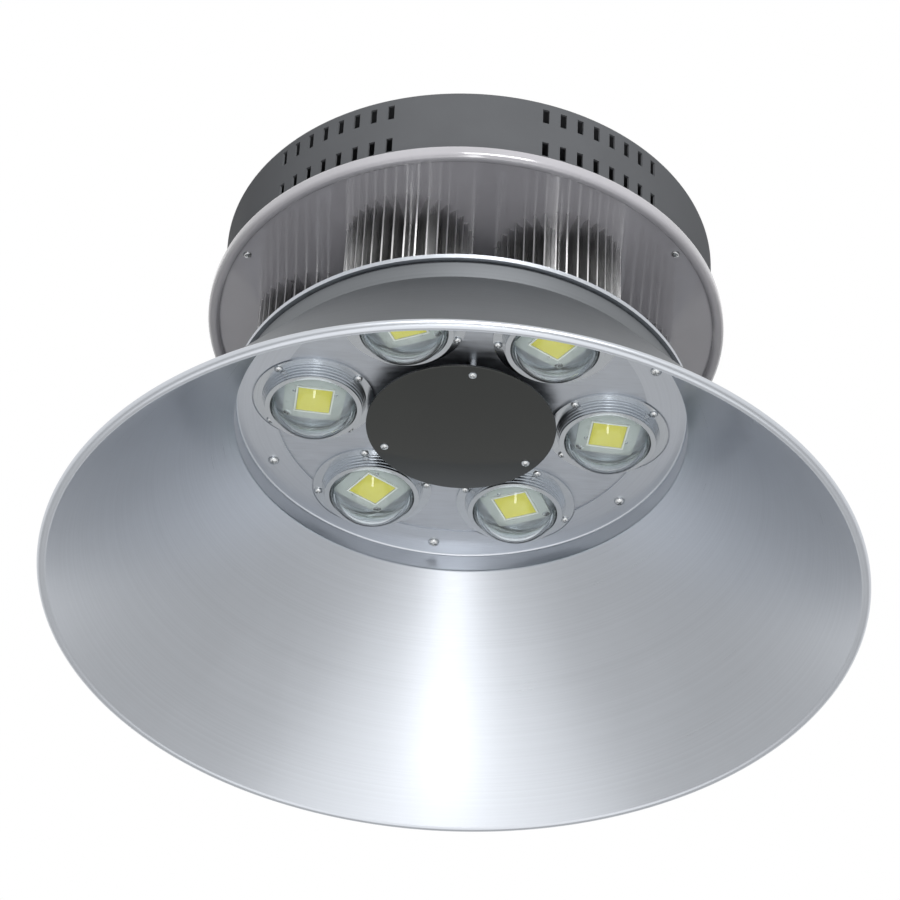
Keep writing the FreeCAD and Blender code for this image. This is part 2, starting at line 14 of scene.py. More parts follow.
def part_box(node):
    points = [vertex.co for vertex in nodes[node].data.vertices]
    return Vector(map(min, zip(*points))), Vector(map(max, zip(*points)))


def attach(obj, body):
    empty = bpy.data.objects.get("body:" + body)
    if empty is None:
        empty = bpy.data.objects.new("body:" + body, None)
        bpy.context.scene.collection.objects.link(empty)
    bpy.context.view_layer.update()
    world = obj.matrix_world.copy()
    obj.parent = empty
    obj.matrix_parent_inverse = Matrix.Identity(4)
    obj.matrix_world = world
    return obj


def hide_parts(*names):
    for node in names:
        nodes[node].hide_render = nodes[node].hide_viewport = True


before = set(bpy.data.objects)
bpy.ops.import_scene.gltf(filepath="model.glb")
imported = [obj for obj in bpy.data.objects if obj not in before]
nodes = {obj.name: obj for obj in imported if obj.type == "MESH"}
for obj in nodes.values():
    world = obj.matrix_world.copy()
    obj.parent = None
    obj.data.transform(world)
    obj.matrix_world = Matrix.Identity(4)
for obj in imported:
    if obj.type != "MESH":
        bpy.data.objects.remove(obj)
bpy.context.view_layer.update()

MM = 0.001

# %% [markdown]
# The camera stands below and in front, so it looks up into the reflector. A long lens from two
# metres away keeps the circles close to true ellipses. It is aimed at a point on the light's axis
# and rolled a little.

# %% Camera
AIM = Vector((-6.1, 0.0, 118.7)) * MM
CAMERA_DISTANCE = 2183.2 * MM
CAMERA_ELEVATION = math.radians(-39.65)
CAMERA_AZIMUTH = math.radians(0.21)
CAMERA_ROLL = math.radians(2.89)
FOCAL_LENGTH = 140.4

sight = Vector((
    -math.sin(CAMERA_AZIMUTH) * math.cos(CAMERA_ELEVATION),
    math.cos(CAMERA_AZIMUTH) * math.cos(CAMERA_ELEVATION),
    -math.sin(CAMERA_ELEVATION),
))
camera_data = bpy.data.cameras.new("camera")
camera_data.lens = FOCAL_LENGTH
camera = bpy.data.objects.new("camera", camera_data)
bpy.context.scene.collection.objects.link(camera)
place = Matrix.Translation(AIM - sight * CAMERA_DISTANCE)
aimed = sight.to_track_quat("-Z", "Y").to_matrix().to_4x4()
camera.matrix_world = place @ aimed @ Matrix.Rotation(CAMERA_ROLL, 4, "Z")
bpy.context.scene.camera = camera
print("camera at", [round(v, 3) for v in camera.location])

# %% [markdown]
# A node material is a small graph. One helper adds a node, sets its properties and fills its
# sockets, either with a number or with a link from another node's output. A second helper turns a
# hex colour, which is written for the screen, into the linear values that the renderer works in.
# A third gives the two shades that a pattern runs between.

# %% Helpers for materials
def linear(hex_colour):
    """An sRGB hex colour as linear red, green and blue, with full alpha."""
    values = [int(hex_colour[i:i + 2], 16) / 255 for i in (1, 3, 5)]
    return [v / 12.92 if v <= 0.04045 else ((v + 0.055) / 1.055) ** 2.4 for v in values] + [1]


def shades(hex_colour, share):
    """The colour made darker and lighter by a share."""
    base = linear(hex_colour)[:3]
    return [c * (1 - share) for c in base] + [1], [min(1, c * (1 + share)) for c in base] + [1]


def grey(value):
    return [value, value, value, 1]


def add(tree, kind, sockets=None, **settings):
    """Adds a node, sets its properties, then fills its sockets with values or links."""
    made = tree.nodes.new(kind)
    for name, value in settings.items():
        setattr(made, name, value)
    for name, value in (sockets or {}).items():
        if isinstance(value, bpy.types.NodeSocket):
            tree.links.new(value, made.inputs[name])
        else:
            made.inputs[name].default_value = value
    return made


def start_material(name):
    """An empty material, its graph and the piece's own coordinates."""
    material = bpy.data.materials.new(name)
    material.use_nodes = True
    tree = material.node_tree
    tree.nodes.clear()
    return material, tree, add(tree, "ShaderNodeTexCoord").outputs["Object"]


print("dark grey in linear:", [round(v, 3) for v in linear("#404040")])

# %% [markdown]
# Spun aluminium is pressed over a turning form with a roller, which leaves fine rings round the
# axis. So the pattern is noise read in distance from the axis and height, and not at all round the
# axis: thin rings that vary. The rings tilt the surface a little (bump) and stretch a highlight
# across them (anisotropy round Z). Wider clouds keep the sheet from looking new all over.

# %% Metals turned or spun round the light's axis
BUMP_HEIGHT = 0.05 * MM
SPUN_CLOUDS = 60 * MM

def spun_metal(name, colour, roughness, ring_mm, ring_depth, streak, stretch=0.5):
    """Rings ring_mm apart, with a bump of ring_depth and a change of colour of streak."""
    material, tree, where = start_material(name)
    parts = add(tree, "ShaderNodeSeparateXYZ", {0: where})
    across = add(tree, "ShaderNodeCombineXYZ", {0: parts.outputs[0], 1: parts.outputs[1]})
    radius = add(tree, "ShaderNodeVectorMath", {0: across.outputs[0]}, operation="LENGTH")
    rings_at = add(tree, "ShaderNodeCombineXYZ", {0: radius.outputs["Value"], 2: parts.outputs[2]})
    rings = add(tree, "ShaderNodeTexNoise", {
        "Vector": rings_at.outputs[0], "Scale": 1 / (ring_mm * MM), "Detail": 3.0,
    })
    cloud = add(tree, "ShaderNodeTexNoise", {
        "Vector": where, "Scale": 1 / SPUN_CLOUDS, "Detail": 4.0,
    })
    shade = add(tree, "ShaderNodeMix", {0: 0.35, 2: rings.outputs["Fac"], 3: cloud.outputs["Fac"]})
    dark, light = shades(colour, streak)
    share = add(tree, "ShaderNodeMapRange", {
        "Value": shade.outputs[0], "From Min": 0.3, "From Max": 0.7,
    })
    tint = add(tree, "ShaderNodeMix", {0: share.outputs[0], 6: dark, 7: light}, data_type="RGBA")
    rough = add(tree, "ShaderNodeMapRange", {
        "Value": shade.outputs[0], "From Min": 0.25, "From Max": 0.75,
        "To Min": roughness * 0.85, "To Max": roughness * 1.2,
    })
    bump = add(tree, "ShaderNodeBump", {
        "Height": rings.outputs["Fac"], "Strength": ring_depth, "Distance": BUMP_HEIGHT,
    })
    round_z = add(tree, "ShaderNodeTangent", direction_type="RADIAL", axis="Z")
    shader = add(tree, "ShaderNodeBsdfPrincipled", {
        "Base Color": tint.outputs[2], "Roughness": rough.outputs[0], "Metallic": 1.0,
        "Normal": bump.outputs[0], "Anisotropic": stretch, "Tangent": round_z.outputs[0],
    })
    add(tree, "ShaderNodeOutputMaterial", {"Surface": shader.outputs[0]})
    return material


SPUN_ALUMINIUM = spun_metal("satin_anodised_spun_aluminium", "#c8ccd2", 0.3, 1.2, 0.25, 0.05)
# A rougher metal for outward faces. Its darker colour is painted shade, standing in for the dark
# drum that the reflector's outside mirrors.
DULL_SHADED_ALUMINIUM = spun_metal("dull_spun_aluminium_painted_shade", "#74777a", 0.5, 1.6, 0.3, 0.08, 0.3)
TURNED_ALUMINIUM = spun_metal("turned_aluminium", "#c8ccd0", 0.2, 0.8, 0.3, 0.06, 0.3)
print("spun metals:", SPUN_ALUMINIUM.name, DULL_SHADED_ALUMINIUM.name, TURNED_ALUMINIUM.name)

# %% [markdown]
# Sheet, extruded and plated metals differ in grain. Rolled sheet has faint straight streaks, an
# extrusion has die lines along its length, and zinc plating is fine and cloudy. One function
# covers them: noise stretched along one direction, with the grain's size given in millimetres
# along each axis.

# %% Rolled, extruded and plated metals
def grained_metal(name, colour, roughness, grain_mm, spread, depth):
    """Grain of the given size along X, Y and Z, with a change of colour and a bump."""
    material, tree, where = start_material(name)
    scale = [1 / (g * MM) for g in grain_mm]
    stretched = add(tree, "ShaderNodeMapping", {"Vector": where, "Scale": scale})
    grain = add(tree, "ShaderNodeTexNoise", {
        "Vector": stretched.outputs[0], "Scale": 1.0, "Detail": 5.0,
    })
    dark, light = shades(colour, spread)
    share = add(tree, "ShaderNodeMapRange", {
        "Value": grain.outputs["Fac"], "From Min": 0.32, "From Max": 0.68,
    })
    tint = add(tree, "ShaderNodeMix", {0: share.outputs[0], 6: dark, 7: light}, data_type="RGBA")
    rough = add(tree, "ShaderNodeMapRange", {
        "Value": grain.outputs["Fac"], "From Min": 0.3, "From Max": 0.7,
        "To Min": roughness * 0.8, "To Max": roughness * 1.25,
    })
    bump = add(tree, "ShaderNodeBump", {
        "Height": grain.outputs["Fac"], "Strength": depth, "Distance": BUMP_HEIGHT,
    })
    shader = add(tree, "ShaderNodeBsdfPrincipled", {
        "Base Color": tint.outputs[2], "Roughness": rough.outputs[0], "Metallic": 1.0,
        "Normal": bump.outputs[0],
    })
    add(tree, "ShaderNodeOutputMaterial", {"Surface": shader.outputs[0]})
    return material


ROLLED_ALUMINIUM = grained_metal(
    "rolled_aluminium_sheet", "#bec2c8", 0.45, (14, 1.5, 1.5), 0.06, 0.2
)
EXTRUDED_ALUMINIUM = grained_metal("extruded_aluminium", "#e2e2e2", 0.3, (1, 1, 40), 0.1, 0.3)
ZINC_PLATE = grained_metal("zinc_plated_steel", "#c9cbcc", 0.24, (1.5, 1.5, 1.5), 0.08, 0.2)
DRIVER_CASE = grained_metal("driver_case_aluminium", "#9b9ea2", 0.42, (2, 20, 2), 0.06, 0.2)
print("grained metals:", 4)

# %% [markdown]
# The drum is powder coated: a baked plastic skin over steel, dull, with the faint dimples called
# orange peel about two millimetres across. Its base plate has a gloss coat under a clear one, so
# it mirrors the fins that stand on it. The black disc is enamel, so smooth that it mirrors the
# room. All are non-metals, and shine says how strongly such a skin mirrors.

# %% Coatings and mouldings
COAT_CLOUDS = 45 * MM

def coated(name, colour, roughness, peel_mm, depth, mottle=0.04, coat=0.0, shine=0.5):
    """Peel is the dimples' size and depth their bump; mottle is a slow change of colour."""
    material, tree, where = start_material(name)
    peel = add(tree, "ShaderNodeTexNoise", {
        "Vector": where, "Scale": 1 / (peel_mm * MM), "Detail": 2.0,
    })
    cloud = add(tree, "ShaderNodeTexNoise", {
        "Vector": where, "Scale": 1 / COAT_CLOUDS, "Detail": 5.0,
    })
    dark, light = shades(colour, mottle)
    share = add(tree, "ShaderNodeMapRange", {
        "Value": cloud.outputs["Fac"], "From Min": 0.35, "From Max": 0.65,
    })
    tint = add(tree, "ShaderNodeMix", {0: share.outputs[0], 6: dark, 7: light}, data_type="RGBA")
    rough = add(tree, "ShaderNodeMapRange", {
        "Value": cloud.outputs["Fac"], "From Min": 0.3, "From Max": 0.7,
        "To Min": roughness * 0.88, "To Max": roughness * 1.12,
    })
    bump = add(tree, "ShaderNodeBump", {
        "Height": peel.outputs["Fac"], "Strength": depth, "Distance": BUMP_HEIGHT,
    })
    shader = add(tree, "ShaderNodeBsdfPrincipled", {
        "Base Color": tint.outputs[2], "Roughness": rough.outputs[0], "Normal": bump.outputs[0],
        "Specular IOR Level": shine, "Coat Weight": coat, "Coat Roughness": 0.08,
    })
    add(tree, "ShaderNodeOutputMaterial", {"Surface": shader.outputs[0]})
    return material


GREY_POWDER_COAT = coated("grey_powder_coat", "#6e7073", 0.6, 2.0, 0.12, shine=0.03)
BASE_PLATE_COAT = coated("glossy_grey_coat", "#c6c4ca", 0.14, 2.0, 0.05, coat=0.9, shine=1.0)
BLACK_ENAMEL = coated("black_enamel", "#1a1e1a", 0.07, 3.0, 0.02, 0.1, 0.3)
BOARD_WHITE = coated("white_board_mask", "#bcc2c0", 0.3, 1.0, 0.05, 0.02)
DAM_SILICONE = coated("white_silicone_dam", "#f0f1ec", 0.4, 0.6, 0.1, 0.02)
BLACK_NYLON = coated("moulded_black_nylon", "#1c1c1d", 0.42, 0.5, 0.2)
BLACK_RUBBER = coated("black_rubber", "#141414", 0.7, 0.4, 0.3)
CREAM_PLASTIC = coated("moulded_cream_plastic", "#d8cfb4", 0.4, 0.8, 0.1)
print("coatings and mouldings:", 8)

# %% [markdown]
# The emitter is a gel full of yellow phosphor over rows of small chips, which show through as
# brighter squares. A cell pattern with the chips' real pitch gives the squares, and a soft noise
# breaks them up.

# %% Phosphor
EMITTER_SIDE = 21.0
CHIP_PITCH = 2.2
GEL_CLOUDS = 7.0
GEL_STOPS = [(0.1, "#e6dc3e"), (0.45, "#dccf24"), (0.8, "#c9be18")]

def phosphor():
    """Bright at a chip's middle and deeper between the chips."""
    material, tree, where = start_material("phosphor_gel")
    chips = add(tree, "ShaderNodeTexVoronoi", {
        "Vector": where, "Scale": 1 / (CHIP_PITCH * MM), "Randomness": 0.25,
    }, distance="CHEBYCHEV")
    cloud = add(tree, "ShaderNodeTexNoise", {
        "Vector": where, "Scale": 1 / (GEL_CLOUDS * MM), "Detail": 3.0,
    })
    dots = add(tree, "ShaderNodeValToRGB", {"Fac": chips.outputs["Distance"]})
    steps = dots.color_ramp.elements
    steps.new(GEL_STOPS[1][0])
    for step, (position, colour) in zip(steps, GEL_STOPS):
        step.position, step.color = position, linear(colour)
    pale = add(tree, "ShaderNodeMix", {
        0: cloud.outputs["Fac"], 6: dots.outputs["Color"], 7: linear("#e8e268"),
    }, data_type="RGBA")
    shader = add(tree, "ShaderNodeBsdfPrincipled", {
        "Base Color": pale.outputs[2], "Roughness": 0.35,
    })
    add(tree, "ShaderNodeOutputMaterial", {"Surface": shader.outputs[0]})
    return material


PHOSPHOR = phosphor()
print("chips per emitter side:", int(EMITTER_SIDE / CHIP_PITCH))

# %% [markdown]
# The lens is borosilicate glass, clear and polished. Glass in a path tracer throws a full shadow
# unless light may pass it, so for shadow rays alone the shader is swapped for a clear one that
# takes a few percent.

# %% Glass
GLASS_WAVES = 9.0

def lens_glass():
    """Pressed glass, whose surface still waves a little after polishing."""
    material, tree, where = start_material("borosilicate_glass")
    swirl = add(tree, "ShaderNodeTexNoise", {
        "Vector": where, "Scale": 1 / (GLASS_WAVES * MM), "Detail": 2.0,
    })
    bump = add(tree, "ShaderNodeBump", {
        "Height": swirl.outputs["Fac"], "Strength": 0.04, "Distance": BUMP_HEIGHT,
    })
    glass = add(tree, "ShaderNodeBsdfPrincipled", {
        "Base Color": linear("#f6fbfa"), "Roughness": 0.01, "IOR": 1.47, "Transmission Weight": 1.0,
        "Normal": bump.outputs[0],
    })
    clear = add(tree, "ShaderNodeBsdfTransparent", {"Color": grey(0.93)})
    rays = add(tree, "ShaderNodeLightPath")
    mixed = add(tree, "ShaderNodeMixShader", {
        0: rays.outputs["Is Shadow Ray"], 1: glass.outputs[0], 2: clear.outputs[0],
    })
    add(tree, "ShaderNodeOutputMaterial", {"Surface": mixed.outputs[0]})
    return material


LENS_GLASS = lens_glass()
print("glass:", LENS_GLASS.name)

# %% [markdown]
# Most pieces here are turned, spun or moulded round an axis, so a section in the plane of radius
# and height is drawn first. A sheet's section is its path with a bend at each corner, and a second
# path one thickness away.

# %% Helpers for sections
def at(radius, height):
    return Vector((radius, height))


def left_of(run):
    """The direction to the left of a run."""
    return Vector((-run.y, run.x))


def bent(points, bends, steps=8):
    """The path through the points, with an arc of the given radius at each inner corner."""
    path = [points[0]]
    for before, corner, after, radius in zip(points, points[1:], points[2:], bends):
        back = (before - corner).normalized()
        ahead = (after - corner).normalized()
        half = back.angle(ahead) / 2
        centre = corner + (back + ahead).normalized() * radius / math.sin(half)
        arm = corner + back * radius / math.tan(half) - centre
        sweep = math.copysign(math.pi - 2 * half, back.y * ahead.x - back.x * ahead.y)
        for i in range(steps + 1):
            path.append(centre + Matrix.Rotation(sweep * i / steps, 2) @ arm)
    return path + [points[-1]]


def sheet_section(points, bends, sheet, steps=8):
    """A closed section: the bent path and the same path one sheet thickness to its left."""
    runs = [(b - a).normalized() for a, b in zip(points, points[1:])]
    far = [points[0] + left_of(runs[0]) * sheet]
    far_bends = []
    for corner, before, after, radius in zip(points[1:], runs, runs[1:], bends):
        far.append(corner + (left_of(before) + left_of(after)) * (sheet / (1 + before.dot(after))))
        turn = before.x * after.y - before.y * after.x
        far_bends.append(radius - math.copysign(1, turn) * sheet)
    far.append(points[-1] + left_of(runs[-1]) * sheet)
    return bent(points, bends, steps) + bent(far, far_bends, steps)[::-1]


print("a bend has", len(bent([at(0, 0), at(10, 0), at(10, 10)], [3])) - 2, "points")

# %% [markdown]
# A section becomes a turned piece when it is spun through a full turn. A full spin makes its last
# copy on top of the first, so the two are merged, and only then are the normals worked out.

# %% Helpers for spinning
MERGE = 0.001 * MM

def spin(bm, section, steps, closed=True):
    """Spins a section round Z into bm; an open section starts and ends on the axis."""
    made = [bm.verts.new((p.x * MM, 0, p.y * MM)) for p in section]
    lines = [bm.edges.new(pair) for pair in zip(made, made[1:])]
    if closed:
        lines.append(bm.edges.new((made[-1], made[0])))
    bmesh.ops.spin(
        bm, geom=made + lines, cent=(0, 0, 0), axis=(0, 0, 1), angle=math.tau, steps=steps,
        use_merge=True,
    )
    bmesh.ops.remove_doubles(bm, verts=bm.verts, dist=MERGE)
    bmesh.ops.recalc_face_normals(bm, faces=bm.faces)
    return bm


def spun(section, steps=96, closed=True):
    return spin(bmesh.new(), section, steps, closed)


washer = spun([at(5, 0), at(10, 0), at(10, 2), at(5, 2)], 12)
print("a washer of 12 steps has", len(washer.faces), "faces")
washer.free()

# %% [markdown]
# Every finished piece goes through one door: smooth shading with sharp edges kept, its material,
# the body that it rides on and the CAD nodes that it stands for.

# %% Helpers for finished pieces
SHARP = math.radians(32)

def as_mesh(bm, name):
    """Smooth faces, with each edge past the sharp angle kept sharp."""
    for face in bm.faces:
        face.smooth = True
    for edge in bm.edges:
        edge.smooth = len(edge.link_faces) == 2 and edge.calc_face_angle(0) < SHARP
    mesh = bpy.data.meshes.new(name)
    bm.to_mesh(mesh)
    bm.free()
    return mesh


def finish(bm, name, material, *stands_for, slot=None):
    """A piece on the root body, which replaces the nodes that it stands for."""
    piece = bpy.data.objects.new(name, as_mesh(bm, name))
    piece.data.materials.append(material)
    bpy.context.scene.collection.objects.link(piece)
    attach(piece, "root")
    if stands_for:
        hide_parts(*stands_for)
    return piece


def second_finish(piece, material, has_it):
    """Gives a second material to the faces for which has_it holds."""
    piece.data.materials.append(material)
    for face in piece.data.polygons:
        if has_it(face):
            face.material_index = 1


# %% [markdown]
# Holes that cross a curved form are cut by a boolean, on two throwaway objects. A shape that is
# used in many places is made once and copied to each, and a place is a matrix on the light.

# %% Helpers for carving and copying
def carved(bm, cutter):
    """bm less the cutter, worked out by Blender's exact boolean."""
    pair = [bpy.data.objects.new("work", bpy.data.meshes.new("work")) for _ in range(2)]
    for thing, source in zip(pair, (bm, cutter)):
        source.to_mesh(thing.data)
        source.free()
        bpy.context.scene.collection.objects.link(thing)
    cut = pair[0].modifiers.new("cut", "BOOLEAN")
    cut.object, cut.operation, cut.solver = pair[1], "DIFFERENCE", "EXACT"
    seen = pair[0].evaluated_get(bpy.context.evaluated_depsgraph_get())
    result = bmesh.new()
    result.from_mesh(seen.to_mesh())
    for thing in pair:
        bpy.data.objects.remove(thing)
    return result


def copies(bm, places):
    """Repeats a shape at each place and drops the original."""
    template = bpy.data.meshes.new("template")
    bm.to_mesh(template)
    bm.free()
    result = bmesh.new()
    for place in places:
        start = len(result.verts)
        result.from_mesh(template)
        result.verts.ensure_lookup_table()
        bmesh.ops.transform(result, matrix=place, verts=result.verts[start:])
    bpy.data.meshes.remove(template)
    return result


def swung(angle, reach, height=0.0):
    """Out along +X by reach, up by height, then round the axis by an angle in degrees."""
    out = Matrix.Translation((reach * MM, 0, height * MM))
    return Matrix.Rotation(math.radians(angle), 4, "Z") @ out


FLIP = Matrix.Rotation(math.pi, 4, "X")
print("a quarter turn at 10 mm is", [round(v / MM, 3) for v in swung(90, 10).translation], "mm")

# %% [markdown]
# The drawing's heights come from the CAD nodes' own boxes, so the dressing can't drift from the
# model.

# %% Heights and lamp places from the frame
def low(node):
    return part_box(node)[0]


def high(node):
    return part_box(node)[1]


SHEET = 1.2
LAMPS = range(1, 7)
RIM_RADIUS = high("reflector")[0] / MM
LED_FACE = low("led_plate")[2] / MM
FLANGE_FACE = LED_FACE - SHEET
BASE_BOTTOM = low("housing_plate")[2] / MM
HOUSING_TOP = high("driver_housing")[2] / MM
HOUSING_FOOT = low("driver_housing")[2] / MM
middles = {
    k: (Vector(low(f"lens_ring_{k}")) + Vector(high(f"lens_ring_{k}"))) / 2 for k in LAMPS
}
LAMP_CIRCLE = Vector(middles[1][:2]).length / MM
LAMP_ANGLES = [math.degrees(math.atan2(middles[k].y, middles[k].x)) for k in LAMPS]
print("lamp circle", round(LAMP_CIRCLE, 2), "angles", [round(a, 1) for a in LAMP_ANGLES])

# %% [markdown]
# The reflector is one disc of sheet, spun over a form: a flange under the lamp plate, a short
# collar, a straight cone and a rim rolled outwards so that it is stiff and has no raw edge. Its
# section is a bent sheet. The cone leaves the throat so that it just touches the roll.

# %% Reflector's section
COLLAR_RADIUS = 141.6
CONE_TOP = 133.6
FLANGE_INNER = 117.0
RIM_ROLL = 3.2
COLLAR_BEND = 1.5
THROAT_BEND = 3.0

roll = at(RIM_RADIUS - RIM_ROLL, RIM_ROLL)
throat = at(COLLAR_RADIUS, CONE_TOP)
reach = roll - throat
slope = math.atan2(reach.y, reach.x) - math.asin(RIM_ROLL / reach.length)
down = at(math.cos(slope), math.sin(slope))
under = -left_of(down)
corners = [roll + (under + down) * RIM_ROLL, roll + (down - under) * RIM_ROLL]
corners += [roll - (under + down) * RIM_ROLL, roll - down * RIM_ROLL]
path = [at(FLANGE_INNER, FLANGE_FACE), at(COLLAR_RADIUS, FLANGE_FACE), throat, *corners]
reflector_section = sheet_section(path, [COLLAR_BEND, THROAT_BEND] + [RIM_ROLL] * 3, SHEET)
print("cone's slope", round(math.degrees(slope), 1), "degrees")

# %% [markdown]
# The flange is scalloped round each lens ring, which a boolean cut does best because the scallops
# cross the spun rings. Only the inside is anodised for light, so the faces that look outwards,
# above the rolled rim, take a duller metal, darkened as painted shade for the drum they mirror.

# %% Reflector
SCALLOP = 39.0
SHADED_OUTSIDE_FROM = 2.2 * RIM_ROLL

scallop = bmesh.new()
bmesh.ops.create_cone(
    scallop, cap_ends=True, segments=96, radius1=SCALLOP * MM, radius2=SCALLOP * MM,
    depth=3 * SHEET * MM,
)
scallops = copies(scallop, [swung(a, LAMP_CIRCLE, FLANGE_FACE + SHEET / 2) for a in LAMP_ANGLES])
shell = carved(spun(reflector_section, 240), scallops)
reflector = finish(shell, "spun_reflector", SPUN_ALUMINIUM, "reflector")


# Faces that look outwards above the rim take the darker metal, whose colour paints the shade of the
# drum.
def looks_out(face):
    outward = face.normal.dot(Vector((*face.center[:2], 0)).normalized()) + face.normal.z
    return outward > 0 and face.center.z > SHADED_OUTSIDE_FROM * MM


second_finish(reflector, DULL_SHADED_ALUMINIUM, looks_out)
print("reflector faces:", len(reflector.data.polygons))

# %% [markdown]
# Over each chip on board lamp sits a hollow glass dome. Its outside and inside are round caps, and
# a flat ledge at its foot is what the ring clamps. A solid dome would bend the emitter out of
# sight from the side, and the hollow one shows it plainly.

# %% Dome's section
LENS_SEAT = 6.0
LENS_RADIUS = 29.0
LENS_EDGE = 1.8
LENS_WALL = 2.5
DOME_RADIUS = 27.2
DOME_HEIGHT = 18.0

def dome_arc(radius, rim, apex, steps=24):
    """A round cap below the rim's height, from its apex on the axis out to its edge."""
    drop = rim - apex
    ball = (radius ** 2 + drop ** 2) / (2 * drop)
    sweep = math.asin(radius / ball) / steps
    return [
        at(ball * math.sin(sweep * i), apex + ball * (1 - math.cos(sweep * i)))
        for i in range(steps + 1)
    ]


back = -LENS_SEAT
edge = back - LENS_EDGE
tip = edge - DOME_HEIGHT
lens_section = dome_arc(DOME_RADIUS, edge, tip) + [at(LENS_RADIUS, edge), at(LENS_RADIUS, back)]
lens_section += dome_arc(DOME_RADIUS - LENS_WALL, back, tip + LENS_WALL)[::-1]
print("points in a lens section:", len(lens_section))

# %% [markdown]
# The dome's foot rests on a bright cup, and a ring turned in steps clamps its ledge. Each step is
# drawn with a slight belly, so that it catches a line of light. All three are sections round the
# lamp's own axis, repeated at the six places.

# %% Domes, cups and rings
CUP_BORE = 26.54
RING_RADIUS = 38.0
RING_FLANGE = 1.6
RING_STEPS = 4
RING_LIP = 1.4
FIRST_STEP = 32.3
LAST_STEP = 30.4
STEP_BELLY = 0.25
GAP = 0.1

cup_radius = LENS_RADIUS - GAP
cup_section = [at(CUP_BORE, -GAP), at(cup_radius, -GAP)]
cup_section += [at(cup_radius, back), at(DOME_RADIUS, back)]
lip = edge - RING_LIP
rise = (-RING_FLANGE - lip) / RING_STEPS
ring_section = [at(LENS_RADIUS, edge), at(LENS_RADIUS, 0)]
ring_section += [at(RING_RADIUS, 0), at(RING_RADIUS, -RING_FLANGE)]
for k in range(RING_STEPS):
    wide = FIRST_STEP - (FIRST_STEP - LAST_STEP) * k / (RING_STEPS - 1)
    top = -RING_FLANGE - rise * k
    ring_section += [at(wide, top), at(wide + STEP_BELLY, top - rise / 2), at(wide, top - rise)]
ring_section += [at(DOME_RADIUS + GAP, lip), at(DOME_RADIUS + GAP, edge)]
for k, angle in zip(LAMPS, LAMP_ANGLES):
    here = [swung(angle, LAMP_CIRCLE, LED_FACE)]
    dome, cup, ring = spun(lens_section, 96, False), spun(cup_section), spun(ring_section)
    finish(copies(dome, here), f"lens_dome_{k}", LENS_GLASS, f"lens_{k}")
    finish(copies(cup, here), f"bright_cup_{k}", TURNED_ALUMINIUM, f"lens_cup_{k}")
    finish(copies(ring, here), f"stepped_ring_{k}", TURNED_ALUMINIUM, f"lens_ring_{k}")
print("points in a ring section:", len(ring_section))

# %% [markdown]
# A chip on board lamp is a metal-cored square with a pale mask. A bead of white silicone, the dam,
# holds the phosphor gel, and two tinned pads take the wires. Board and gel come from the CAD; dam
# and pads are added. The dam is a grid's one face, inset by the dam's width and pushed down.

# %% Lamp boards
BOARD_FACE = 1.6
DAM_WIDTH = 1.4
DAM_HEIGHT = 1.25
PAD_FOOT = 1.3
PAD_TOP = 0.8
PAD_HEIGHT = 0.7
PAD_PLACE = (13.0, 6.0)

def square_dam():
    bm = bmesh.new()
    size = (EMITTER_SIDE / 2 + DAM_WIDTH) * MM
    bmesh.ops.create_grid(bm, x_segments=1, y_segments=1, size=size)
    middle = bm.faces[:]
    bmesh.ops.inset_region(bm, faces=middle, thickness=DAM_WIDTH * MM, use_boundary=True)
    bmesh.ops.delete(bm, geom=middle, context="FACES_ONLY")
    made = bmesh.ops.extrude_face_region(bm, geom=bm.faces[:])["geom"]
    top = [v for v in made if isinstance(v, bmesh.types.BMVert)]
    bmesh.ops.translate(bm, verts=top, vec=(0, 0, -DAM_HEIGHT * MM))
    bmesh.ops.recalc_face_normals(bm, faces=bm.faces)
    return bm


def solder_pads():
    bm = bmesh.new()
    bmesh.ops.create_cone(
        bm, cap_ends=True, segments=20, radius1=PAD_FOOT * MM, radius2=PAD_TOP * MM,
        depth=PAD_HEIGHT * MM,
    )
    bmesh.ops.transform(bm, verts=bm.verts, matrix=FLIP)
    x, y = PAD_PLACE
    places = [(side * x * MM, y * MM, -PAD_HEIGHT / 2 * MM) for side in (-1, 1)]
    return copies(bm, [Matrix.Translation(place) for place in places])


for k, angle in zip(LAMPS, LAMP_ANGLES):
    here = [swung(angle, LAMP_CIRCLE, LED_FACE - BOARD_FACE)]
    finish(copies(square_dam(), here), f"lamp_dam_{k}", DAM_SILICONE, slot="white_board")
    finish(copies(solder_pads(), here), f"lamp_pads_{k}", ZINC_PLATE, slot="zinc_steel")
print("lamp boards:", len(LAMP_ANGLES))

# %% [markdown]
# A plain black disc hides the wires in the middle of the lamp plate. It is blanked from sheet
# enamelled on its face only, so its edge is slightly rounded and its back is bare. It stands on
# three pillars.

# %% Centre disc and pillars
DISC_SCREWS = [-83.7, 36.3, 156.3]
DISC_SCREW_CIRCLE = 51.9
DISC_EDGE = 0.5
PILLAR_RADIUS = 2.5
PILLAR_BORE = 1.5
PILLAR_EDGES = [0.3, 0.2]

disc_radius = high("centre_disc")[0] / MM
disc_low = low("centre_disc")[2] / MM
disc_top = high("centre_disc")[2] / MM
disc_section = [at(0, disc_low), at(disc_radius, disc_low), at(disc_radius, disc_top)]
disc = spun(bent(disc_section + [at(0, disc_top)], [DISC_EDGE] * 2, 4), 160, False)
black_disc = finish(disc, "black_centre_disc", BLACK_ENAMEL, "centre_disc")
# The bare back takes the same rougher metal, whose darker colour is painted shade.
second_finish(black_disc, DULL_SHADED_ALUMINIUM, lambda face: face.normal.z > 0.5)

